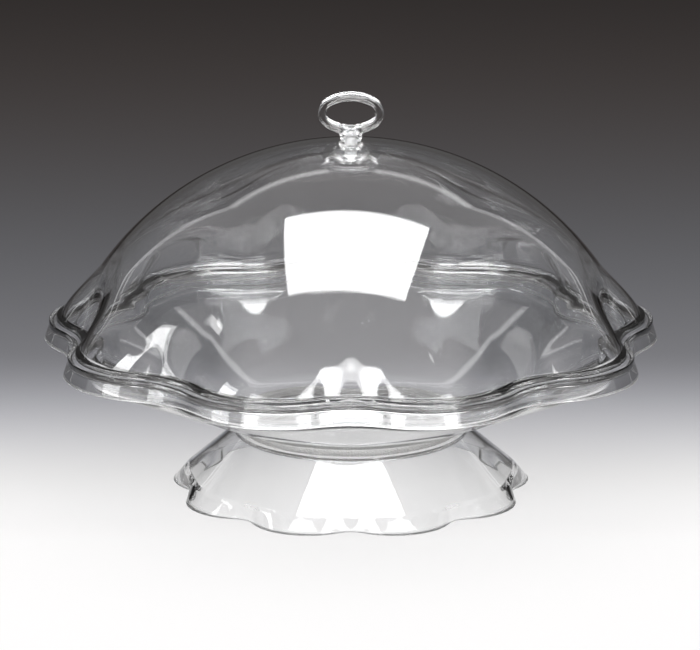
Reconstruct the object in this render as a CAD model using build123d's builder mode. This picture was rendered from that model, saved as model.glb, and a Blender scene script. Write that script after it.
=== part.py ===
from build123d import *

import math
import os

# Covered fruit stand in clear moulded plastic: a nine-lobed bowl on a nine-lobed foot,
# with a lift-off dome that has an upright ring handle.
# Origin at the centre of the foot's base, +Z up, and a notch between two lobes at the front, -Y.

lobes = 9

# Lobed outlines: lobe tips on one circle, notches on a smaller one
rim_tip = 200.0  # widest part of the bowl's hanging skirt
rim_depth = 16.8  # how far a notch comes in from the tips, on the rim and the cover
foot_tip = 116.5
foot_depth = 12.5
rim_sharpness = 1.54  # depth of the bare crossing of two lobes, over the depth of the rounded notch
foot_sharpness = 1.3

# Heights above the table
hem_height = 10.0
foot_height = 40.0
bowl_base = 44.0
skirt_bottom = 93.0
seat_height = 105.0
rim_top = 106.0
ring_centre = 247.0

wall = 3.0
skirt_wall = 2.4

# Bowl: the wall is a parabola in section, upright where it meets the rim
base_radius = 72.4
bowl_tip = 181.0
ledge_thickness = 3.0
flute_start = 0.12  # share of the bowl's height below which the wall is round
skirt_flare = 3.0
seat_inset = 7.7
seat_clearance = 0.3
edge_round = 1.0

# Foot
neck_radius = 74.5
crease_tip = 108.0
flare_power = 1.25
foot_fade = 24.0  # height where the foot's lobes have faded to a round neck

# Textured ring between the bowl and the foot
ring_inner = 66.0
ring_outer = 71.6

# Cover: the top of a sphere, whose wall grows into the rim's lobes near its lower edge
dome_radius = 198.2
dome_centre = 27.9
cover_apex = dome_centre + dome_radius
flange_inset = seat_inset + seat_clearance
flange_width = 6.2
flange_thickness = 3.8
wall_tip = 189.0
tip_fade = 34.0  # height over which the lobes' outward flare settles into the sphere
notch_fade = 52.0
stud_hole = 3.0

# Handle: an oval ring on a short stem, held by a plug that comes up from inside the cover
hole_width = 31.6
hole_height = 16.8
ring_thickness = 5.0
ring_depth = 8.6
ring_round = 2.2
hole_end = 5.6  # radius of the finger hole's tight ends
stem_foot = 8.2
stem_neck = 7.3
neck_height = 3.0
stem_flare = 1.8
stud_radius = 2.7
stud_top = 236.0
plug_top = 12.0
plug_radius = 18.3
plug_height = 7.0
plug_edge = 1.8
plug_shoulder = 2.2
plug_wall = 3.4

os.makedirs("parts", exist_ok=True)


def ease(share):
    """1 at share 0, 0 at share 1, level at both ends."""
    t = min(max(share, 0.0), 1.0)
    return 1 - t * t * (3 - 2 * t)


def polar(radius, degrees):
    """Point at an angle measured from the front, -Y, toward +X."""
    angle = math.radians(degrees)
    return (radius * math.sin(angle), -radius * math.cos(angle))


def lobed_outline(tip, depth, sharpness, inset):
    """Closed line of one outward arc for each lobe and one inward arc for each notch.

    The line runs inside the outline of the given tip and depth, at an even distance.
    """
    pitch = 360 / lobes
    half = math.radians(pitch / 2)
    meet, meet_radius = pitch / 4, tip - inset
    if depth > 0:
        crossing = tip - sharpness * depth
        lobe_centre = (tip**2 - crossing**2) / (2 * (tip - crossing * math.cos(half)))
        lobe = tip - lobe_centre
        across = lobe_centre * math.cos(half)
        notch = tip - depth
        excess = lobe**2 - lobe_centre**2 - notch**2 + 2 * across * notch
        fillet = excess / (2 * (notch - across - lobe))
        share = (fillet + inset) / (fillet + lobe)
        x = (notch + fillet) * (1 - share) + across * share
        y = lobe_centre * math.sin(half) * share
        meet, meet_radius = math.degrees(math.atan2(y, x)), math.hypot(x, y)
    with BuildLine() as line:
        for k in range(lobes):
            notch_at = k * pitch
            before = polar(meet_radius, notch_at - meet)
            after = polar(meet_radius, notch_at + meet)
            next_notch = polar(meet_radius, notch_at + pitch - meet)
            ThreePointArc(before, polar(tip - depth - inset, notch_at), after)
            ThreePointArc(after, polar(tip - inset, notch_at + pitch / 2), next_notch)
    return line


def lobed_section(height, inset, tip=rim_tip, depth=rim_depth, sharpness=rim_sharpness):
    """Filled lobed outline on a level plane, set in from the outline of tip and depth."""
    with BuildSketch(Plane.XY.offset(height)) as section:
        with BuildLine():
            add(lobed_outline(tip, depth, sharpness, inset).line)
        make_face()
    return section.sketch


def bowl_section(share, depth_in):
    """Section of the bowl at a share of its height, at a depth into the wall square to its face."""
    rise = seat_height - ledge_thickness - bowl_base
    spread = 2 * (bowl_tip - base_radius) * (1 - share)
    tip = base_radius + (bowl_tip - base_radius) * (1 - (1 - share) ** 2)
    depth = rim_depth * (1 - ease((share - flute_start) / (1 - flute_start)))
    height = bowl_base + share * rise + depth_in * spread / math.hypot(rise, spread)
    return lobed_section(height, depth_in * rise / math.hypot(rise, spread), tip, depth)


def foot_section(height, depth_in):
    """Section of the foot's flare, at a depth into the wall square to its face."""
    share = (height - hem_height) / (foot_height - hem_height)
    flare = (crease_tip - neck_radius) * (1 - share) ** flare_power
    slope = flare_power * flare / max(foot_height - height, wall)
    depth = foot_depth * ease((height - hem_height) / (foot_fade - hem_height))
    return lobed_section(height, depth_in * math.hypot(1, slope), neck_radius + flare, depth, foot_sharpness)


def cover_section(height, inset):
    """Section of the cover's wall, where the lobes grow out of the sphere."""
    sphere = math.sqrt((dome_radius - inset) ** 2 - (height - dome_centre) ** 2)
    start = seat_height + flange_thickness
    sphere_at_flange = math.sqrt(dome_radius**2 - (start - dome_centre) ** 2)
    flare = (wall_tip - sphere_at_flange) * ease((height - start) / tip_fade)
    pinch = (rim_depth - wall_tip + sphere_at_flange) * ease((height - start) / notch_fade)
    return lobed_section(height, inset, sphere + inset + flare, flare + pinch)


# Bowl with its ledge, the seat for the cover and the hanging skirt
bowl_shares = (0, 0.07, 0.2, 0.4, 0.65, 1)
ledge_underside = seat_height - ledge_thickness

with BuildPart() as fruit_bowl:
    # hanging skirt: a flared lobed band, hollow below the ledge
    loft([lobed_section(skirt_bottom, 0), lobed_section(ledge_underside, skirt_flare)])
    skirt_inner = [
        lobed_section(skirt_bottom, skirt_wall),
        lobed_section(ledge_underside, skirt_flare + skirt_wall),
    ]
    loft(skirt_inner, mode=Mode.SUBTRACT)
    # ledge, with its upper outer edge rounded
    extrude(lobed_section(ledge_underside, skirt_flare), amount=rim_top - ledge_underside)
    fillet(fruit_bowl.faces().sort_by(Axis.Z)[-1].edges(), radius=edge_round)
    # seat sunk into the ledge for the cover's flange
    extrude(lobed_section(seat_height, seat_inset), amount=rim_top - seat_height, mode=Mode.SUBTRACT)
    # wall and floor of the bowl
    loft([bowl_section(share, 0) for share in bowl_shares])
    loft([bowl_section(share, wall) for share in bowl_shares], mode=Mode.SUBTRACT)
    extrude(bowl_section(1, wall), amount=rim_top, mode=Mode.SUBTRACT)

# Textured ring between the bowl's base and the foot
with BuildPart() as joint_ring:
    with BuildSketch(Plane.XY.offset(foot_height)):
        Circle(ring_outer)
        Circle(ring_inner, mode=Mode.SUBTRACT)
    extrude(amount=bowl_base - foot_height)

# Hollow foot: a sloping hem, a crease and a flare up to a round neck with a closed top
flare_rise = foot_height - hem_height
flare_heights = [hem_height + share * flare_rise for share in (0, 0.15, 0.3, 0.5, 0.75, 1)]
inner_rise = flare_rise - wall
inner_heights = [hem_height + share * inner_rise for share in (0, 0.15, 0.3, 0.6, 1)]
with BuildPart() as pedestal_foot:
    loft([foot_section(height, 0) for height in flare_heights])
    loft([lobed_section(0, 0, foot_tip, foot_depth, foot_sharpness), foot_section(hem_height, 0)])
    loft([foot_section(height, wall) for height in inner_heights], mode=Mode.SUBTRACT)
    inner_hem = [
        lobed_section(0, wall, foot_tip, foot_depth, foot_sharpness),
        foot_section(hem_height, wall),
    ]
    loft(inner_hem, mode=Mode.SUBTRACT)

# Cover: a spherical top over a wall that grows into the rim's lobes, and the flange on the ledge
wall_start = seat_height + flange_thickness
wall_end = wall_start + notch_fade
cover_heights = [wall_start + share * notch_fade for share in (0, 0.12, 0.3, 0.5, 0.75, 1)]


def sphere_point(radius, height):
    """Point of the cover's sphere at a height, in the plane of section."""
    return (math.sqrt(radius**2 - (height - dome_centre) ** 2), height)


def cap_sketch(radius):
    """Half section of the sphere above the lobed wall."""
    top = (0, dome_centre + radius)
    with BuildSketch(Plane.XZ) as cap:
        with BuildLine():
            ThreePointArc(top, sphere_point(radius, (wall_end + top[1]) / 2), sphere_point(radius, wall_end))
            Polyline(sphere_point(radius, wall_end), (0, wall_end), top)
        make_face()
    return cap.sketch


with BuildPart() as dome_cover:
    loft([cover_section(height, 0) for height in cover_heights])
    revolve(cap_sketch(dome_radius), Axis.Z)
    loft([cover_section(height, wall) for height in cover_heights], mode=Mode.SUBTRACT)
    revolve(cap_sketch(dome_radius - wall), Axis.Z, mode=Mode.SUBTRACT)
    # flange that stands out from the wall's foot
    extrude(lobed_section(seat_height, flange_inset), amount=flange_thickness)
    flange_inner = lobed_section(seat_height, flange_inset + flange_width)
    extrude(flange_inner, amount=flange_thickness, mode=Mode.SUBTRACT)
    with Locations((0, 0, cover_apex)):
        Hole(stud_hole, depth=2 * wall)

# Ring handle: an upright oval ring with rounded edges on a short waisted stem, bored for the stud


def oval_section(grow):
    """Filled oval of four tangent arcs, grown evenly from the finger hole."""
    end_centre = hole_width / 2 - hole_end
    gap = hole_height / 2 - hole_end
    drop = (end_centre**2 - gap**2) / (2 * gap)
    share = (hole_end + grow) / math.hypot(end_centre, drop)
    x, rise = end_centre * (1 + share), drop * share
    low, high = ring_centre - rise, ring_centre + rise
    with BuildSketch(Plane.XZ.offset(-ring_depth / 2)) as section:
        with BuildLine():
            ThreePointArc((x, high), (hole_width / 2 + grow, ring_centre), (x, low))
            ThreePointArc((x, low), (0, ring_centre - hole_height / 2 - grow), (-x, low))
            ThreePointArc((-x, low), (-hole_width / 2 - grow, ring_centre), (-x, high))
            ThreePointArc((-x, high), (0, ring_centre + hole_height / 2 + grow), (x, high))
        make_face()
    return section.sketch


stem_top = ring_centre - hole_height / 2 - ring_thickness / 2
with BuildPart() as ring_handle:
    extrude(oval_section(ring_thickness), amount=ring_depth)
    extrude(oval_section(0), amount=ring_depth, mode=Mode.SUBTRACT)
    fillet(ring_handle.faces().filter_by(Axis.Y).edges(), radius=ring_round)
    with BuildSketch(Plane.XZ):
        with BuildLine():
            axis_foot = (0, cover_apex)
            foot_edge = sphere_point(dome_radius, dome_centre + math.sqrt(dome_radius**2 - stem_foot**2))
            neck = (stem_neck, cover_apex + neck_height)
            shoulder = (stem_neck + stem_flare, stem_top)
            ThreePointArc(axis_foot, sphere_point(dome_radius, (cover_apex + foot_edge[1]) / 2), foot_edge)
            ThreePointArc(foot_edge, neck, shoulder)
            Polyline(shoulder, (0, stem_top), axis_foot)
        make_face()
    revolve(axis=Axis.Z)
    Cylinder(stud_radius, stud_top, align=(Align.CENTER, Align.CENTER, Align.MIN), mode=Mode.SUBTRACT)

# Plug inside the cover: a flared head, hollow below, and the stud that runs up into the stem
inner_radius = dome_radius - wall
inner_apex = dome_centre + inner_radius
plug_rim = inner_apex - plug_height
with BuildPart() as handle_plug:
    with BuildSketch(Plane.XZ):
        with BuildLine():
            head_top = sphere_point(inner_radius, dome_centre + math.sqrt(inner_radius**2 - plug_top**2))
            head_mid = sphere_point(inner_radius, (inner_apex + head_top[1]) / 2)
            rim_upper = (plug_radius, plug_rim + plug_edge)
            rim_lower = (plug_radius - plug_edge / 3, plug_rim)
            inner_rim = (rim_lower[0] - plug_wall, plug_rim)
            inner_top = (plug_top - plug_wall, head_top[1] - plug_wall)
            ThreePointArc((0, inner_apex), head_mid, head_top)
            ThreePointArc(head_top, (plug_radius - plug_edge, head_top[1] - plug_shoulder), rim_upper)
            Polyline(rim_upper, rim_lower, inner_rim, inner_top, (0, inner_top[1]), (0, inner_apex))
        make_face()
    revolve(axis=Axis.Z)
    stud_foot = inner_apex - plug_wall
    with Locations((0, 0, stud_foot)):
        Cylinder(stud_radius, stud_top - stud_foot, align=(Align.CENTER, Align.CENTER, Align.MIN))

pieces = {
    "fruit_bowl": fruit_bowl,
    "joint_ring": joint_ring,
    "pedestal_foot": pedestal_foot,
    "dome_cover": dome_cover,
    "ring_handle": ring_handle,
    "handle_plug": handle_plug,
}
for label, piece in pieces.items():
    piece.part.label = label
    export_step(piece.part, f"parts/{label}.step")
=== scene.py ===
# %% [markdown]
# # A covered fruit stand in clear plastic
#
# The stand is a shallow nine-lobed bowl on a nine-lobed foot, under a dome that lifts off by an
# upright oval ring. Everything on it is clear moulded plastic, so its looks come from three
# things: true wall thickness, smooth surfaces, and what there is around it to bend and mirror.
#
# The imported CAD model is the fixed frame. Its shells are right in size, but they are made of flat
# facets, and clear plastic shows every facet as a kink in what lies behind it. So all six pieces
# are drawn again here on much finer meshes from the same few dimensions, and they stand in the
# same places as the CAD nodes that they replace. The bowl's wall and the foot's flare follow the
# real object a little closer than the solids do.

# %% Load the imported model
import math

import bmesh
import bpy
import numpy as np
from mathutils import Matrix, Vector


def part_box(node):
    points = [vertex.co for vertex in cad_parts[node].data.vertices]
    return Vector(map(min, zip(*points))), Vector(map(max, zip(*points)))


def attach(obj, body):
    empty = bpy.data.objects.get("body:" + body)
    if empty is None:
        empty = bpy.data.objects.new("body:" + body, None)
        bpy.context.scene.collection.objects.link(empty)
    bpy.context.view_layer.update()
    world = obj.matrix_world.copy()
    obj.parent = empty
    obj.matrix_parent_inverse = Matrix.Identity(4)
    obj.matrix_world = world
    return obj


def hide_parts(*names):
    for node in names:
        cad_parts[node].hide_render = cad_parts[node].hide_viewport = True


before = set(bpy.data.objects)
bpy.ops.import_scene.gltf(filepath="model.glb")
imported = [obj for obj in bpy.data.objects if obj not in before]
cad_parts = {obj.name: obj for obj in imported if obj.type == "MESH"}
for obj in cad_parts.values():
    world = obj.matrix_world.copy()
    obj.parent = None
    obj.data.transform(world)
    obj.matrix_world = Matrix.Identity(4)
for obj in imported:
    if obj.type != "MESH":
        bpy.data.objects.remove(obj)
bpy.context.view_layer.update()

# %% [markdown]
# ## Driving dimensions
#
# Widths and heights that the frame holds are read from its nodes' boxes. A lobe points to the
# back, so the depth of a box behind the axis is the radius of the lobes' tips. The rest are the
# mould maker's choices: how deep and how round the notches are, and how thick the walls are.

# %% Sizes in metres
MM = 0.001
LOBES = 9
WALL = 3.0 * MM

bowl_low, bowl_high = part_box("fruit_bowl")
dome_low, dome_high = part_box("dome_cover")
foot_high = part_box("pedestal_foot")[1]
joint_low, joint_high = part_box("joint_ring")
plug_low, plug_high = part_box("handle_plug")

RIM_TIP, RIM_DEPTH, RIM_SHARPNESS = bowl_high.y, 16.8 * MM, 1.54
FOOT_TIP, FOOT_DEPTH, FOOT_SHARPNESS = foot_high.y, 12.5 * MM, 1.3
print(f"rim {RIM_TIP / MM:.1f} mm and foot {FOOT_TIP / MM:.1f} mm from the axis to a lobe's tip")

# %% [markdown]
# ## One outline for every level
#
# Cut level anywhere, the object shows the same kind of line: nine wide outward arcs, the lobes,
# joined by nine small inward arcs, the notches. Polar coordinates suit it, because each ray from
# the axis meets the line once. Every level is sampled at the same angles, so the points of
# neighbouring rings match, and the rings join into clean strips of four-sided faces.

# %% The lobed ring
LOBE_STEPS = 48
PLAIN_CIRCLE = 0.001 * MM
angles = np.arange(LOBES * LOBE_STEPS) * 2 * math.pi / (LOBES * LOBE_STEPS)
half_pitch = math.pi / LOBES
from_notch = half_pitch - np.abs((angles % (2 * half_pitch)) - half_pitch)


def lobed_radius(tip, depth, sharpness, inset):
    """Distance from the axis to the lobed line, at each of the ring's angles."""
    if depth < PLAIN_CIRCLE:
        return np.full_like(angles, tip - inset)
    crossing = tip - sharpness * depth
    centre = (tip**2 - crossing**2) / (2 * (tip - crossing * math.cos(half_pitch)))
    lobe = tip - centre
    across = centre * math.cos(half_pitch)
    notch = tip - depth
    fillet = (lobe**2 - centre**2 - notch**2 + 2 * across * notch) / (2 * (notch - across - lobe))
    share = (fillet + inset) / (fillet + lobe)
    meet = math.atan2(
        centre * math.sin(half_pitch) * share, (notch + fillet) * (1 - share) + across * share
    )
    turned = half_pitch - from_notch
    on_lobe = centre * np.cos(turned) + np.sqrt((lobe - inset) ** 2 - (centre * np.sin(turned)) ** 2)
    arc = np.maximum((fillet + inset) ** 2 - ((notch + fillet) * np.sin(from_notch)) ** 2, 0)
    on_notch = (notch + fillet) * np.cos(from_notch) - math.copysign(1, fillet) * np.sqrt(arc)
    return np.where(from_notch < meet, on_notch, on_lobe)


def ring(height, tip, depth=0.0, sharpness=RIM_SHARPNESS, inset=0.0):
    """One level ring of points, starting at the front notch and turning toward the right."""
    radius = lobed_radius(tip, depth, sharpness, inset)
    return np.stack(
        [radius * np.sin(angles), -radius * np.cos(angles), np.full_like(angles, height)], axis=1
    )


rim_line = lobed_radius(RIM_TIP, RIM_DEPTH, RIM_SHARPNESS, 0)
print(f"rim from {rim_line.min() / MM:.1f} to {rim_line.max() / MM:.1f} mm over {len(angles)} points")

# %% [markdown]
# ## Skins from rings
#
# A moulded wall is a closed skin: up the outside, over the edge, down the inside. Each shell here
# is one list of rings in that order. Real mould edges are never knife sharp, and the tiny round
# on them is what catches the light, so a helper replaces a corner ring with a short curve of
# rings. It pulls each point along the two walls that meet there.

# %% Rounded corners and the mesh builder
def rounded(before, corner, after, radius, steps=5):
    """Rings that turn smoothly from one wall to the next round a corner ring."""
    back, ahead = before - corner, after - corner
    back = back / np.linalg.norm(back, axis=1, keepdims=True)
    ahead = ahead / np.linalg.norm(ahead, axis=1, keepdims=True)
    start, end = corner + back * radius, corner + ahead * radius
    curve = []
    for t in np.linspace(0, 1, steps):
        curve.append(start * (1 - t) ** 2 + corner * 2 * t * (1 - t) + end * t**2)
    return curve


def soften(rings, corners):
    """The list of rings with each numbered corner ring rounded by its radius."""
    result = []
    for number, points in enumerate(rings):
        if number in corners:
            after = rings[(number + 1) % len(rings)]
            result += rounded(rings[number - 1], points, after, corners[number])
        else:
            result.append(points)
    return result


def skin(name, rings, closed, body, node):
    """A smooth mesh through the rings: closed on itself, or capped at the axis at both ends."""
    mesh = bpy.data.meshes.new(name)
    count = len(rings[0])
    points = np.concatenate(rings)
    faces = []
    last = len(rings) if closed else len(rings) - 1
    for level in range(last):
        low, high = level * count, ((level + 1) % len(rings)) * count
        for k in range(count):
            after = (k + 1) % count
            faces.append((low + k, low + after, high + after, high + k))
    if not closed:
        ends = [(0, rings[0], True), ((len(rings) - 1) * count, rings[-1], False)]
        for base, end, start in ends:
            tip = len(points)
            points = np.concatenate([points, end.mean(axis=0)[None]])
            for k in range(count):
                after = (k + 1) % count
                faces.append((tip, base + after, base + k) if start else (tip, base + k, base + after))
    mesh.from_pydata(points.tolist(), [], faces)
    mesh.update()
    tidy = bmesh.new()
    tidy.from_mesh(mesh)
    bmesh.ops.recalc_face_normals(tidy, faces=tidy.faces)
    tidy.to_mesh(mesh)
    tidy.free()
    mesh.polygons.foreach_set("use_smooth", [True] * len(mesh.polygons))
    piece = bpy.data.objects.new(name, mesh)
    bpy.context.scene.collection.objects.link(piece)
    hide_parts(node)
    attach(piece, body)
    print(name, len(mesh.vertices), "points", len(mesh.polygons), "faces")
    return piece


def ease(share):
    """1 at share 0, 0 at share 1, level at both ends."""
    t = min(max(share, 0.0), 1.0)
    return 1 - t * t * (3 - 2 * t)


def steps(start, end, count):
    return [float(value) for value in np.linspace(start, end, count)]


print("a lobe's outline eased over four steps:", [round(ease(share), 2) for share in steps(0, 1, 5)])


# %% [markdown]
# ## The bowl
#
# The bowl is round at its base, and its lobes deepen toward the rim. Round the rim a narrow flat
# ledge carries the cover in a shallow seat, and a thin skirt hangs from the ledge's outer edge.
# The list of rings goes from the middle of the underside out to the rim, round the skirt, over
# the ledge and back down the inside.

# %% Bowl dimensions
BOWL_BASE, BOWL_RADIUS, BOWL_TIP = bowl_low.z, 72.4 * MM, 181.0 * MM
BOWL_WIDEST, CONE_SPREAD, BEND_SIZE = 181.35 * MM, 2.5, 3.5 * MM
RIM_TOP = bowl_high.z
SEAT = dome_low.z
SKIRT_BOTTOM, SKIRT_WALL, SKIRT_FLARE = 93.0 * MM, 2.4 * MM, 3.0 * MM
LEDGE_UNDERSIDE = SEAT - WALL
SEAT_INSET = 7.7 * MM
FLUTE_START = 0.12


def bowl_ring(share, into):
    """Ring at a share of the bowl's height, at a depth into the wall square to its face.

    In section the wall is a cone that bends upright near the rim: one arm of a hyperbola.
    """
    rise = LEDGE_UNDERSIDE - BOWL_BASE
    cone = BOWL_RADIUS + share * rise * CONE_SPREAD
    gap = BOWL_WIDEST - cone
    bend = math.hypot(gap, 2 * BEND_SIZE)
    tip = (cone + BOWL_WIDEST - bend) / 2
    slope = CONE_SPREAD * (1 + gap / bend) / 2
    depth = RIM_DEPTH * (1 - ease((share - FLUTE_START) / (1 - FLUTE_START)))
    height = BOWL_BASE + share * rise + into * slope / math.hypot(1, slope)
    return ring(height, tip, depth, inset=into / math.hypot(1, slope))


def rim_ring(height, inset):
    return ring(height, RIM_TIP, RIM_DEPTH, inset=inset)


# %% Bowl rings, outside first
outer_wall = [bowl_ring(share, 0) for share in steps(0, 0.995, 70)]
floor_rings = [ring(BOWL_BASE, BOWL_RADIUS * share) for share in (0.02, 0.4, 0.75)]
outer_turn = rounded(floor_rings[-1], outer_wall[0], outer_wall[5], 10 * MM, 9)
rim_rings = [
    rim_ring(LEDGE_UNDERSIDE, SKIRT_FLARE + SKIRT_WALL + 6 * MM),
    rim_ring(LEDGE_UNDERSIDE, SKIRT_FLARE + SKIRT_WALL),
    rim_ring(SKIRT_BOTTOM, SKIRT_WALL),
    rim_ring(SKIRT_BOTTOM, 0),
    rim_ring(LEDGE_UNDERSIDE, SKIRT_FLARE),
    rim_ring(RIM_TOP, SKIRT_FLARE),
    rim_ring(RIM_TOP, SEAT_INSET),
    rim_ring(SEAT, SEAT_INSET),
]
rim_radii_mm = {1: 0.8, 2: 0.7, 3: 0.9, 4: 1.2, 5: 1.0, 6: 0.25, 7: 0.25}
rim_rounds = {corner: radius * MM for corner, radius in rim_radii_mm.items()}
inner_wall = [bowl_ring(share, WALL) for share in steps(1, 0, 70)]
inner_floor = [ring(inner_wall[-1][0, 2], BOWL_RADIUS * share) for share in (0.75, 0.4, 0.02)]
inner_turn = rounded(inner_wall[-7], inner_wall[-1], inner_floor[0], 12 * MM, 9)
inner_lip = [ring(SEAT, BOWL_TIP, RIM_DEPTH, inset=WALL)]
bowl_rings = (
    floor_rings
    + outer_turn
    + outer_wall[6:]
    + soften(rim_rings + inner_lip, rim_rounds)
    + inner_wall[:-7]
    + inner_turn
    + inner_floor
)
bowl = skin("bowl_shell", bowl_rings, False, "stand", "fruit_bowl")

# %% [markdown]
# ## The foot
#
# The foot is hollow below. A hem stands on the table, and over it a crease, where a flare begins
# that sweeps up to a round neck. The flare is almost a plain cone: only the hem has deep lobes.

# %% Foot dimensions
HEM_HEIGHT, FOOT_HEIGHT = 10.0 * MM, foot_high.z
NECK_RADIUS, CREASE_TIP = 74.5 * MM, 108.0 * MM
CREASE_DEPTH, FLARE_POWER, FOOT_FADE = 1.5 * MM, 1.08, 26.0 * MM


def foot_ring(height, into):
    """Ring of the flare at a height, at a depth into the wall square to its face."""
    share = (height - HEM_HEIGHT) / (FOOT_HEIGHT - HEM_HEIGHT)
    flare = (CREASE_TIP - NECK_RADIUS) * max(1 - share, 0) ** FLARE_POWER
    slope = FLARE_POWER * flare / max(FOOT_HEIGHT - height, WALL)
    depth = CREASE_DEPTH * ease((height - HEM_HEIGHT) / (FOOT_FADE - HEM_HEIGHT))
    return ring(height, NECK_RADIUS + flare, depth, FOOT_SHARPNESS, into * math.hypot(1, slope))


def hem_ring(inset):
    return ring(0.0, FOOT_TIP, FOOT_DEPTH, FOOT_SHARPNESS, inset)


# %% Foot rings, from the middle of its top down the outside and up the inside
foot_top = [ring(FOOT_HEIGHT, NECK_RADIUS * share) for share in (0.02, 0.5, 0.9)]
neck_edge = foot_ring(FOOT_HEIGHT, 0)
NECK_ROUND, CREASE_TOP = 0.8 * MM, HEM_HEIGHT + 0.6 * MM
outer_flare = [foot_ring(height, 0) for height in steps(FOOT_HEIGHT - NECK_ROUND, CREASE_TOP, 30)]
hem_rings = [
    foot_ring(CREASE_TOP, 0),
    foot_ring(HEM_HEIGHT, 0),
    hem_ring(0),
    hem_ring(WALL),
    foot_ring(HEM_HEIGHT, WALL),
    foot_ring(CREASE_TOP, WALL),
]
inner_top = FOOT_HEIGHT - WALL
inner_flare = [foot_ring(height, WALL) for height in steps(CREASE_TOP, inner_top, 30)]
foot_ceiling = [ring(inner_top, (NECK_RADIUS - WALL) * share) for share in (0.9, 0.5, 0.02)]
foot_rings = (
    foot_top
    + rounded(foot_top[-1], neck_edge, outer_flare[1], 0.7 * MM)
    + outer_flare[1:-1]
    + soften(hem_rings, {1: 0.4 * MM, 2: 0.9 * MM, 3: 0.7 * MM, 4: 0.4 * MM})
    + inner_flare[1:]
    + foot_ceiling
)
foot = skin("foot_shell", foot_rings, False, "stand", "pedestal_foot")

# %% [markdown]
# ## The cover
#
# The dome is the top of a sphere. Near its lower edge the wall grows out into the rim's lobes, so
# that its flange can lie in the seat. It has a small hole on top for the plug's stud.

# %% Cover dimensions
DOME_RADIUS = 198.2 * MM
DOME_CENTRE = dome_high.z - DOME_RADIUS
FLANGE_INSET, FLANGE_WIDTH, FLANGE_THICKNESS = 8.0 * MM, 6.2 * MM, 3.8 * MM
WALL_START = SEAT + FLANGE_THICKNESS
WALL_TIP, TIP_FADE, NOTCH_FADE = 189.0 * MM, 34.0 * MM, 52.0 * MM
STUD_HOLE = 3.0 * MM


def cover_ring(height, inset):
    sphere = math.sqrt((DOME_RADIUS - inset) ** 2 - (height - DOME_CENTRE) ** 2)
    at_flange = math.sqrt(DOME_RADIUS**2 - (WALL_START - DOME_CENTRE) ** 2)
    flare = (WALL_TIP - at_flange) * ease((height - WALL_START) / TIP_FADE)
    pinch = (RIM_DEPTH - WALL_TIP + at_flange) * ease((height - WALL_START) / NOTCH_FADE)
    return ring(height, sphere + inset + flare, flare + pinch, inset=inset)


def cap_rings(inset):
    """Rings of the plain sphere from the top of the lobed wall up to the stud's hole."""
    radius = DOME_RADIUS - inset
    low = math.acos((WALL_START + NOTCH_FADE - DOME_CENTRE) / radius)
    high = math.asin(STUD_HOLE / radius)
    polar = steps(low, high, 40)[1:]
    return [ring(DOME_CENTRE + radius * math.cos(a), radius * math.sin(a)) for a in polar]


# %% Cover rings, from the hole down the outside, round the flange and up the inside
outer_cap = cap_rings(0)[::-1]
WALL_FOOT, WALL_HEAD = WALL_START + 0.5 * MM, WALL_START + NOTCH_FADE
outer_cover = [cover_ring(height, 0) for height in steps(WALL_HEAD, WALL_FOOT, 48)]
flange_rings = [
    cover_ring(WALL_FOOT, 0),
    cover_ring(WALL_START, 0),
    rim_ring(WALL_START, FLANGE_INSET),
    rim_ring(SEAT, FLANGE_INSET),
    rim_ring(SEAT, FLANGE_INSET + FLANGE_WIDTH),
    cover_ring(WALL_START, WALL),
    cover_ring(WALL_FOOT, WALL),
]
inner_cover = [cover_ring(height, WALL) for height in steps(WALL_FOOT, WALL_HEAD, 48)]
cover_rings = (
    outer_cap
    + outer_cover[:-1]
    + soften(flange_rings, {1: 0.45 * MM, 2: 0.9 * MM, 3: 0.5 * MM, 4: 0.5 * MM, 5: 0.4 * MM})
    + inner_cover[1:]
    + cap_rings(WALL)
)
cover = skin("dome_shell", cover_rings, True, "cover", "dome_cover")

# %% [markdown]
# ## The joint ring
#
# Where the bowl's base meets the foot, a narrow band is covered in a fine zigzag of points. It
# grips the bond and hides it. The zigzag is real relief, under a millimetre deep, because only
# relief breaks up the light in clear plastic as the photograph shows.

# %% Joint ring
JOINT_INNER, JOINT_OUTER = 66.0 * MM, joint_high.x
TEETH, TOOTH_DEPTH = 150, 0.7 * MM
ROWS = 9


fine = np.arange(TEETH * 4) * 2 * math.pi / (TEETH * 4)


def band_ring(height, radius):
    """A level ring of the band, whose radius is one number or one for each point."""
    return np.stack(
        [radius * np.sin(fine), -radius * np.cos(fine), np.full_like(fine, height)], axis=1
    )


def toothed(height, row):
    """A ring of the band's outer face: its points swing in and out, one row against the next."""
    swing = 0.5 - 0.5 * np.cos(TEETH * fine + math.pi * (row % 4) / 2)
    edge = 1 if row in (0, ROWS - 1) else 0
    return band_ring(height, JOINT_OUTER - TOOTH_DEPTH * (swing * (1 - edge) + edge))


band = [toothed(height, row) for row, height in enumerate(steps(joint_low.z, joint_high.z, ROWS))]
joint_rings = band + [band_ring(joint_high.z, JOINT_INNER), band_ring(joint_low.z, JOINT_INNER)]
joint = skin("joint_band", joint_rings, True, "stand", "joint_ring")

# %% [markdown]
# ## The handle
#
# The finger ring is a flat band with softly rounded edges, bent to an oval of four arcs. Its stem
# swells into it without a seam, as a moulded part does. So the band and the stem are joined by
# a fine voxel remesh, and a few smoothing passes turn the join into a fillet.

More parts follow.
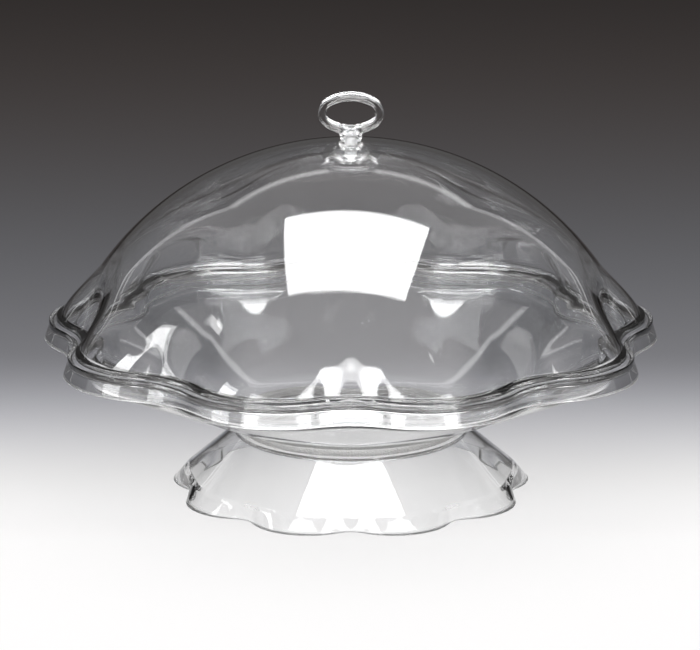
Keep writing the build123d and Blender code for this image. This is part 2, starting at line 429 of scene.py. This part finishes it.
# %% Oval band
RING_CENTRE = 247.0 * MM
HOLE_HALF, HOLE_RISE, HOLE_END = 15.8 * MM, 8.4 * MM, 5.6 * MM
BAND, BAND_DEPTH, BAND_ROUND = 5.0 * MM, 8.6 * MM, 1.3 * MM
end_centre, arch_gap = HOLE_HALF - HOLE_END, HOLE_RISE - HOLE_END
arch_drop = (end_centre**2 - arch_gap**2) / (2 * arch_gap)
arch_radius = HOLE_RISE + arch_drop
end_turn = math.atan2(end_centre, arch_drop)
print(f"finger hole {2 * HOLE_HALF / MM:.1f} by {2 * HOLE_RISE / MM:.1f} mm")


def oval_point(quarter, share, grow):
    """Point on the oval grown from the finger hole; the four arcs follow one another."""
    across = -1 if quarter in (1, 2) else 1
    up = 1 if quarter < 2 else -1
    turn = share * math.pi / 2 if quarter in (0, 2) else (1 - share) * math.pi / 2
    if turn < math.pi / 2 - end_turn:
        x = end_centre + (HOLE_END + grow) * math.cos(turn)
        z = (HOLE_END + grow) * math.sin(turn)
    else:
        x = (arch_radius + grow) * math.cos(turn)
        z = (arch_radius + grow) * math.sin(turn) - arch_drop
    return across * x, RING_CENTRE + up * z


def band_section():
    """Offsets into the band and along its depth, round one section with rounded corners."""
    points = []
    for corner in range(4):
        at_out = BAND - BAND_ROUND if corner in (0, 3) else BAND_ROUND
        at_deep = (BAND_DEPTH / 2 - BAND_ROUND) * (1 if corner < 2 else -1)
        for turn in steps(corner * math.pi / 2, (corner + 1) * math.pi / 2, 7):
            out, deep = BAND_ROUND * math.cos(turn), BAND_ROUND * math.sin(turn)
            points.append((at_out + out, at_deep + deep))
    return points


def raw_mesh(name, rings, closed):
    """A plain mesh through equal rings of points, joined round and, if asked, end to end."""
    count = len(rings[0])
    faces = []
    for level in range(len(rings) if closed else len(rings) - 1):
        low, high = level * count, ((level + 1) % len(rings)) * count
        for k in range(count):
            after = (k + 1) % count
            faces.append((low + k, low + after, high + after, high + k))
    if not closed:
        last = (len(rings) - 1) * count
        faces += [tuple(range(count)), tuple(range(last, last + count))]
    mesh = bpy.data.meshes.new(name)
    mesh.from_pydata([point for level in rings for point in level], [], faces)
    return mesh


band_rings = []
for quarter in range(4):
    for share in steps(0, 1, 41)[:-1]:
        section = []
        for out, deep in band_section():
            x, z = oval_point(quarter, share, out)
            section.append((x, deep, z))
        band_rings.append(section)

# %% Stem
STEM_FOOT, STEM_WAIST, STEM_TOP = 8.2 * MM, 6.8 * MM, 12.5 * MM
STEM_SWELL, STEM_SQUEEZE = 2.6, 1.5
stem_low = dome_high.z + 0.05 * MM
stem_waist = dome_high.z + 4.5 * MM
stem_high = RING_CENTRE - HOLE_RISE - BAND / 2
stem_rings = []
for height in steps(stem_low, stem_high, 25):
    above = max(height - stem_waist, 0) / (stem_high - stem_waist)
    below = max(stem_waist - height, 0) / (stem_waist - stem_low)
    radius = STEM_WAIST + (STEM_TOP - STEM_WAIST) * above**STEM_SWELL
    radius += (STEM_FOOT - STEM_WAIST) * below**2
    depth = min(radius, STEM_FOOT) * (1 - 0.5 * above**STEM_SQUEEZE)
    turns = steps(0, 2 * math.pi, 49)[:-1]
    stem_rings.append([(radius * math.cos(turn), depth * math.sin(turn), height) for turn in turns])
print(f"stem {2 * STEM_WAIST / MM:.1f} mm thick at its waist")

# %% One skin over both
joined = bmesh.new()
joined.from_mesh(raw_mesh("band", band_rings, True))
joined.from_mesh(raw_mesh("stem", stem_rings, False))
bmesh.ops.recalc_face_normals(joined, faces=joined.faces)
handle_mesh = bpy.data.meshes.new("handle_ring")
joined.to_mesh(handle_mesh)
joined.free()
handle = bpy.data.objects.new("handle_ring", handle_mesh)
bpy.context.scene.collection.objects.link(handle)
remesh = handle.modifiers.new("one_skin", "REMESH")
remesh.mode, remesh.voxel_size = "VOXEL", 0.2 * MM
relax = handle.modifiers.new("fillet", "SMOOTH")
relax.factor, relax.iterations = 0.5, 18
graph = bpy.context.evaluated_depsgraph_get()
solid = bpy.data.meshes.new_from_object(handle.evaluated_get(graph))
handle.modifiers.clear()
handle.data = solid
solid.polygons.foreach_set("use_smooth", [True] * len(solid.polygons))
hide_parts("ring_handle")
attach(handle, "cover")
print("handle", len(solid.vertices), "points after the remesh")

# %% [markdown]
# ## The plug
#
# The plug comes up from inside the dome. Its flared head lies against the dome from below, and
# its stud, with fine grooves round it, is the pale column in the stem.

# %% Plug rings
STUD_RADIUS, STUD_TOP, STUD_GROOVE = 2.7 * MM, plug_high.z, 0.3 * MM
HEAD_TOP, HOLLOW, HOLLOW_DEPTH = 12 * MM, 8.6 * MM, 3.2 * MM
HEAD_EDGE, HEAD_LOW = plug_high.x - 0.05 * MM, plug_low.z
inner_sphere = DOME_RADIUS - WALL - 0.12 * MM


def under_dome(radius):
    return DOME_CENTRE + math.sqrt(inner_sphere**2 - radius**2)


stud_end = [ring(STUD_TOP, STUD_RADIUS * share) for share in (0.1, 0.6, 0.85)]
stud = [
    ring(height, STUD_RADIUS - STUD_GROOVE * (number % 2))
    for number, height in enumerate(steps(STUD_TOP - 0.4 * MM, dome_high.z - 0.5 * MM, 25))
]
head_top = [ring(under_dome(radius), radius) for radius in steps(STUD_RADIUS, HEAD_TOP, 12)]
head_side = [
    ring(under_dome(HEAD_TOP) - drop * MM, HEAD_TOP + (HEAD_EDGE - HEAD_TOP) * out)
    for drop, out in ((0.5, 0.35), (1.4, 0.65), (2.8, 0.88))
]
head_base = [
    ring(HEAD_LOW + 1.8 * MM, HEAD_EDGE),
    ring(HEAD_LOW, HEAD_EDGE - 0.6 * MM),
    ring(HEAD_LOW, HEAD_EDGE - 4.0 * MM),
    ring(HEAD_LOW + HOLLOW_DEPTH, HOLLOW),
    ring(HEAD_LOW + HOLLOW_DEPTH, 0.3 * MM),
]
head_base = soften(head_base, {1: 0.5 * MM, 2: 0.5 * MM, 3: 1.0 * MM})
plug_rings = stud_end + stud + head_top + head_side + head_base
plug = skin("plug_head", plug_rings, False, "cover", "handle_plug")

# %% [markdown]
# ## Shader maths as plain expressions
#
# A small class wraps a node's output, so that masks can be written as sums and products. Each
# operator adds one Math node, and a Math node is for numbers only.

# %% The socket class
class Value:
    """One output of a node, with arithmetic."""

    def __init__(self, tree, socket):
        self.tree, self.socket = tree, socket

    def math(self, operation, other=0.0):
        found = self.tree.node("ShaderNodeMath", {"operation": operation}, {0: self, 1: other})
        return Value(self.tree, found.outputs[0])

    def __add__(self, other):
        return self.math("ADD", other)

    def __sub__(self, other):
        return self.math("SUBTRACT", other)

    def __mul__(self, other):
        return self.math("MULTIPLY", other)

    def __truediv__(self, other):
        return self.math("DIVIDE", other)

    def __rsub__(self, other):
        return (self * -1.0) + other

    __radd__ = __add__
    __rmul__ = __mul__

    def ramp(self, low, high):
        """0 at low, 1 at high, smooth between."""
        found = self.tree.node(
            "ShaderNodeMapRange",
            {"interpolation_type": "SMOOTHSTEP"},
            {"Value": self, "From Min": low, "From Max": high},
        )
        return Value(self.tree, found.outputs[0])


class Tree:
    """The node tree of a material or of the world, with one method that adds any node."""

    def __init__(self, owner):
        owner.use_nodes = True
        self.nodes, self.links = owner.node_tree.nodes, owner.node_tree.links
        self.nodes.clear()

    def node(self, kind, settings=None, inputs=None):
        made = self.nodes.new(kind)
        for name, value in (settings or {}).items():
            setattr(made, name, value)
        for name, value in (inputs or {}).items():
            if isinstance(value, Value):
                self.links.new(value.socket, made.inputs[name])
            elif isinstance(value, bpy.types.NodeSocket):
                self.links.new(value, made.inputs[name])
            else:
                made.inputs[name].default_value = value
        return made

    def value(self, kind, output, settings=None, inputs=None):
        return Value(self, self.node(kind, settings, inputs).outputs[output])


# %% [markdown]
# ## Clear plastic
#
# The plastic is colourless and polished. Its refraction index of about 1.5 sets how strongly it
# mirrors and bends. Faint variation in roughness stands for wiping and handling, and a very weak
# bump for the slow waves that moulding leaves. Moulded edges are less polished. Lamp rays pass as
# through a clear film, or the floor would be as dark under it as under metal.

# %% Clear plastic material
PLASTIC_INDEX = 1.52
CLEAR_TINT = (0.985, 0.99, 0.992)
SMEAR_SCALE, WAVE_HEIGHT = 14.0, 1.0 * MM
EDGE_ROUGHNESS, EDGE_FADE = 0.35, 0.4 * MM


def let_lamps_through(tree, plastic, film):
    """The plastic as it is seen, but a clear film of the given brightness to lamp rays."""
    passing = tree.node("ShaderNodeBsdfTransparent", inputs={"Color": (film, film, film, 1)})
    rays = tree.value("ShaderNodeLightPath", "Is Shadow Ray")
    both = tree.node("ShaderNodeMixShader", inputs={0: rays, 1: plastic.outputs[0], 2: passing.outputs[0]})
    tree.node("ShaderNodeOutputMaterial", inputs={"Surface": both.outputs[0]})


def clear_plastic(name, rough, wave_scale, wave, film, edge=None):
    """Clear plastic; edge gives the heights between which it is less polished."""
    material = bpy.data.materials.new(name)
    tree = Tree(material)
    place = tree.value("ShaderNodeTexCoord", "Object")
    noise = {"Vector": place, "Scale": SMEAR_SCALE, "Detail": 5.0}
    smear = tree.value("ShaderNodeTexNoise", "Fac", inputs=noise)
    noise = {"Vector": place, "Scale": wave_scale, "Detail": 1.0}
    waves = tree.value("ShaderNodeTexNoise", "Fac", inputs=noise)
    bump = tree.node("ShaderNodeBump", inputs={"Strength": wave, "Distance": WAVE_HEIGHT, "Height": waves})
    roughness = smear.ramp(0.5, 0.8) * rough
    if edge:
        low, high = edge
        split = tree.node("ShaderNodeSeparateXYZ", inputs={0: place})
        height = Value(tree, split.outputs[2])
        at_edge = (1 - height.ramp(high, high + EDGE_FADE)) * height.ramp(low - EDGE_FADE, low)
        roughness = roughness + at_edge * EDGE_ROUGHNESS
    plastic = tree.node(
        "ShaderNodeBsdfPrincipled",
        inputs={
            "Base Color": (*CLEAR_TINT, 1),
            "Roughness": roughness,
            "IOR": PLASTIC_INDEX,
            "Transmission Weight": 1.0,
            "Normal": bump.outputs[0],
        },
    )
    let_lamps_through(tree, plastic, film)
    return material


def dress(piece, material):
    piece.data.materials.clear()
    piece.data.materials.append(material)
    print(piece.name, "wears", material.name)


SHELL_FILM, SOLID_FILM = 0.985, 0.97
skirt_edge = (SKIRT_BOTTOM, SKIRT_BOTTOM + 0.8 * MM)
hem_edge = (0.0, 1.2 * MM)
stud_height = (dome_high.z, plug_high.z)
dress(cover, clear_plastic("cover_clear", 0.006, 6.0, 0.004, SHELL_FILM))
dress(bowl, clear_plastic("bowl_clear", 0.008, 6.0, 0.006, SHELL_FILM, skirt_edge))
dress(foot, clear_plastic("foot_clear", 0.008, 8.0, 0.006, SHELL_FILM, hem_edge))
dress(handle, clear_plastic("handle_clear", 0.01, 60.0, 0.01, SOLID_FILM))
dress(plug, clear_plastic("plug_clear", 0.01, 60.0, 0.01, SOLID_FILM, stud_height))

# %% [markdown]
# ## Stippled band
#
# The joint band scatters light: it is clear plastic with a rough, pitted face and a fine grain of
# lighter and darker specks.

# %% Stippled plastic material
SPECK_SCALE, PIT_DEPTH = 900.0, 0.6 * MM
PALE_SPECK, DARK_SPECK = (0.97, 0.965, 0.955), (0.72, 0.71, 0.7)


def stippled_plastic(name, rough, clearness, film):
    material = bpy.data.materials.new(name)
    tree = Tree(material)
    place = tree.value("ShaderNodeTexCoord", "Object")
    noise = {"Vector": place, "Scale": SPECK_SCALE, "Detail": 2.0}
    specks = tree.value("ShaderNodeTexNoise", "Fac", inputs=noise)
    colour = tree.node(
        "ShaderNodeMix",
        {"data_type": "RGBA"},
        {0: specks.ramp(0.3, 0.46), 6: (*DARK_SPECK, 1), 7: (*PALE_SPECK, 1)},
    )
    cells = {"Vector": place, "Scale": SPECK_SCALE}
    pits = tree.value("ShaderNodeTexVoronoi", "Distance", inputs=cells)
    bump = tree.node("ShaderNodeBump", inputs={"Strength": 0.8, "Distance": PIT_DEPTH, "Height": pits})
    plastic = tree.node(
        "ShaderNodeBsdfPrincipled",
        inputs={
            "Base Color": colour.outputs[2],
            "Roughness": rough,
            "IOR": PLASTIC_INDEX,
            "Transmission Weight": clearness,
            "Normal": bump.outputs[0],
        },
    )
    let_lamps_through(tree, plastic, film)
    return material


dress(joint, stippled_plastic("joint_stippled", 0.3, 0.75, 0.95))

# %% [markdown]
# ## The studio
#
# The stand is photographed on a broad sweep that is white under and in front of it and falls off
# to dark behind. The floor is a real surface with that fall painted on it by distance, as painted
# shade where a white sweep goes dark as the light falls off. It is painted on a real floor because
# the plastic bends and mirrors it from every direction, and a real floor stays in its place. The
# many walls of clear plastic would shade it too much, so to seeing rays about two thirds of the
# paint glows with its own colour, and the rest keeps the object's shadow.

# %% Floor
FLOOR_REACH = 2.2
floor_mesh = bpy.data.meshes.new("floor")
sheet = bmesh.new()
bmesh.ops.create_grid(sheet, x_segments=8, y_segments=8, size=FLOOR_REACH)
sheet.to_mesh(floor_mesh)
sheet.free()
floor = bpy.data.objects.new("floor", floor_mesh)
bpy.context.scene.collection.objects.link(floor)
floor.location.z = -0.2 * MM
print("floor", 2 * FLOOR_REACH, "m wide")

# %% Paint on the floor
SWEEP_TAIL, SWEEP_TAIL_LEVEL = 0.5, 0.346
SWEEP_NEAR, SWEEP_NEAR_LEVEL = (-0.06, 0.33), 0.56
GRAIN_SCALE, GRAIN_SHARE = 900.0, 0.01
FLOOR_GLOW = 0.65


def seen_ray(tree):
    """1 for the rays that show the studio: to the camera, off mirrors and through the plastic."""
    path = tree.node("ShaderNodeLightPath")
    return (
        Value(tree, path.outputs["Is Camera Ray"])
        .math("MAXIMUM", Value(tree, path.outputs["Is Glossy Ray"]))
        .math("MAXIMUM", Value(tree, path.outputs["Is Transmission Ray"]))
    )


def colour_mix(tree, share, low, high):
    inputs = {0: share, 6: low, 7: high}
    return tree.node("ShaderNodeMix", {"data_type": "RGBA"}, inputs).outputs[2]


sweep = bpy.data.materials.new("sweep_paint")
tree = Tree(sweep)
place = tree.node("ShaderNodeTexCoord").outputs["Object"]
split = tree.node("ShaderNodeSeparateXYZ", inputs={0: place})
across, behind = Value(tree, split.outputs[0]).math("ABSOLUTE"), Value(tree, split.outputs[1])
# painted shade: the floor's colour falls from white to dark behind the stand, in place of the light's
# fall-off on a white sweep
tail = (behind * (-1 / SWEEP_TAIL)).math("EXPONENT") * SWEEP_TAIL_LEVEL
near = (1 - behind.ramp(*SWEEP_NEAR)) * SWEEP_NEAR_LEVEL
painted_shade_falloff = (tail + near).math("MINIMUM", 1.0)
white_area = (1 - across.ramp(0.5, 1.2)) * behind.ramp(-1.2, -0.45)
grain = tree.value("ShaderNodeTexNoise", "Fac", inputs={"Vector": place, "Scale": GRAIN_SCALE})
level = painted_shade_falloff * white_area * (grain * GRAIN_SHARE + (1 - GRAIN_SHARE / 2)) + 0.01
cool = colour_mix(tree, behind.ramp(0.0, 0.25), (1.0, 0.99, 0.99, 1), (0.99, 0.99, 1.06, 1))
warm = colour_mix(tree, behind.ramp(0.5, 1.3), cool, (1.1, 0.96, 0.93, 1))
tone = tree.node("ShaderNodeVectorMath", {"operation": "SCALE"}, {0: warm, "Scale": level})
matt = tree.node("ShaderNodeBsdfDiffuse", inputs={"Color": tone.outputs[0]})
glow = tree.node("ShaderNodeEmission", inputs={"Color": tone.outputs[0], "Strength": 1.0})
share = seen_ray(tree) * FLOOR_GLOW
mixed = tree.node("ShaderNodeMixShader", inputs={0: share, 1: matt.outputs[0], 2: glow.outputs[0]})
tree.node("ShaderNodeOutputMaterial", inputs={"Surface": mixed.outputs[0]})
dress(floor, sweep)

# %% [markdown]
# ## Light
#
# For plain lighting the world is an even white. To the camera, to mirrors and to what the plastic
# bends, it is dark but for a few bright cards, as a studio is. A ray that has already scattered
# from a matt surface sees the even white again.

# %% World
world = bpy.data.worlds.new("studio")
bpy.context.scene.world = world
tree = Tree(world)
direction = tree.node("ShaderNodeTexCoord").outputs["Generated"]
split = tree.node("ShaderNodeSeparateXYZ", inputs={0: direction})
dir_x, dir_y, dir_z = (Value(tree, split.outputs[k]) for k in range(3))
elevation = dir_z.math("ARCSINE") * (180 / math.pi)
azimuth = dir_x.math("ARCTAN2", dir_y).math("ABSOLUTE") * (180 / math.pi)


# %% Cards that the plastic mirrors
def between(value, low, high, soft):
    return value.ramp(low - soft, low + soft) * (1 - value.ramp(high - soft, high + soft))


# the ceiling card is a rectangle on a level ceiling one unit up, turned a little
CEILING_TURN, CEILING_SOFT = 0.085, 0.006
upward = dir_z.ramp(0.02, 0.05)
across_ceiling = dir_x / dir_z.math("MAXIMUM", 0.02)
along_ceiling = dir_y / dir_z.math("MAXIMUM", 0.02)
turned_across = across_ceiling - along_ceiling * CEILING_TURN
turned_along = along_ceiling + across_ceiling * CEILING_TURN
ceiling_width = between(turned_across, -0.357, 0.357, CEILING_SOFT)
ceiling_length = between(turned_along, -0.275, 0.425, CEILING_SOFT)
overhead = ceiling_width * ceiling_length * upward

# azimuth counts in degrees from the back, so the front is at 180
front_top = 24.5 + (1 - azimuth.ramp(146, 176)) * 12
below_top = 1 - (elevation - front_top).ramp(-0.6, 0.6)
front_card = azimuth.ramp(139, 141) * elevation.ramp(0, 1) * below_top
side_cards = between(azimuth, 80, 140, 2.0) * between(elevation, 0.5, 20, 1.0)
on_left = 1 - dir_x.ramp(-0.01, 0.01)
left_card = between(azimuth, 98, 120, 0.6) * between(elevation, 22, 37, 0.6) * on_left
print("cards: ceiling, front, sides, left")

# %% Backdrop and the room beyond it
BACKDROP_EDGE, BACKDROP_LEAN, BACKDROP_TOP = 45.0, 0.342, 38.0
edge = BACKDROP_EDGE - elevation * BACKDROP_LEAN
past_edge = azimuth - edge
behind_stand = (1 - past_edge.ramp(-0.4, 0.4)) * (1 - elevation.ramp(BACKDROP_TOP - 0.2, BACKDROP_TOP + 0.6))
edge_line = between(past_edge, -0.2, 0.9, 0.2) * (1 - elevation.ramp(BACKDROP_TOP, BACKDROP_TOP + 2))
top_strip = (1 - azimuth.ramp(31, 32.5)) * between(elevation, 38.3, 41, 0.4)
back_window = (1 - azimuth.ramp(16, 20)) * between(elevation, 24, 50, 1.5)
side = dir_x.math("ABSOLUTE").ramp(0.45, 0.85)
room = (0.42 + (1 - dir_y.ramp(-0.3, 0.3)) * 0.75) * (1 - side * 0.85)
around = behind_stand * (0.09 + back_window * 0.12) + (1 - behind_stand) * room
bright_cards = overhead * 10.0 + front_card * 9.0 + left_card * 9.0 + side_cards * 1.0
bright = bright_cards + top_strip * 1.2 + edge_line * 1.6

# %% The two worlds mixed
cards = tree.node("ShaderNodeBackground", inputs={"Color": (1, 1, 1, 1), "Strength": bright})
dim = tree.node("ShaderNodeBackground", inputs={"Color": (1.0, 0.965, 0.96, 1), "Strength": around})
seen = tree.node("ShaderNodeAddShader", inputs={0: cards.outputs[0], 1: dim.outputs[0]})
even = tree.node("ShaderNodeBackground", inputs={"Color": (1, 1, 1, 1), "Strength": 1.0})
path = tree.node("ShaderNodeLightPath")
scattered = Value(tree, path.outputs["Diffuse Depth"]).math("MINIMUM", 1.0)
share = seen_ray(tree) * (1 - scattered)
mixed = tree.node("ShaderNodeMixShader", inputs={0: share, 1: even.outputs[0], 2: seen.outputs[0]})
tree.node("ShaderNodeOutputWorld", inputs={"Surface": mixed.outputs[0]})
print("world nodes", len(tree.nodes))

# %% [markdown]
# ## Camera
#
# The photograph was taken from far off with a long lens, a little above the rim.

# %% Camera
CAMERA_DISTANCE, CAMERA_ELEVATION = 4.0, math.radians(15.43)
FOCAL_PIXELS, PICTURE_WIDTH, SENSOR_WIDTH = 6229, 700, 36.0
AIM = Vector((-0.6 * MM, 0.0, 107.0 * MM))
camera_data = bpy.data.cameras.new("camera")
camera_data.sensor_width = SENSOR_WIDTH
camera_data.lens = FOCAL_PIXELS / PICTURE_WIDTH * SENSOR_WIDTH
camera_data.clip_end = 20.0
camera = bpy.data.objects.new("camera", camera_data)
bpy.context.scene.collection.objects.link(camera)
toward_camera = Vector((0, -math.cos(CAMERA_ELEVATION), math.sin(CAMERA_ELEVATION)))
camera.location = AIM + CAMERA_DISTANCE * toward_camera
camera.rotation_euler = (AIM - camera.location).to_track_quat("-Z", "Y").to_euler()
bpy.context.scene.camera = camera
bpy.context.scene.view_settings.view_transform = "Standard"
print(f"lens {camera_data.lens:.0f} mm at {CAMERA_DISTANCE} m")
